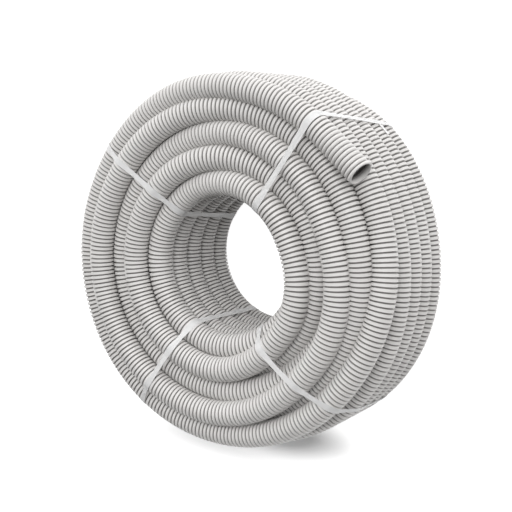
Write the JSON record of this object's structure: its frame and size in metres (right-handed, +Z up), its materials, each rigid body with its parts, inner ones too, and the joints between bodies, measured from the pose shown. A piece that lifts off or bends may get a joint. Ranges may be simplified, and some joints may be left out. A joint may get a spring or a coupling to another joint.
{
  "type": "corrugated conduit coil",
  "caption": "Coil of light grey flexible corrugated conduit, wound in layers with an open free end, tied with flat plastic straps and lying on one end.",
  "frame": {"origin": "on the floor under the middle of the coil, which lies on its back end", "axes": "+Z up along the coil's axis, towards its front end, where the free end is; the free end lies between +X and +Y and points towards +X"},
  "size_m": [0.4684, 0.4684, 0.1945],
  "materials": {
    "conduit_pvc": "light grey ribbed PVC, moulded, satin",
    "strap_film": "cloudy white translucent polypropylene strap"
  },
  "bodies": {
    "root": {"conduit": "conduit_pvc", "strap_upper_right": "strap_film", "strap_lower_right": "strap_film", "strap_lower_left": "strap_film", "strap_upper_left": "strap_film"}
  },
  "joints": []
}
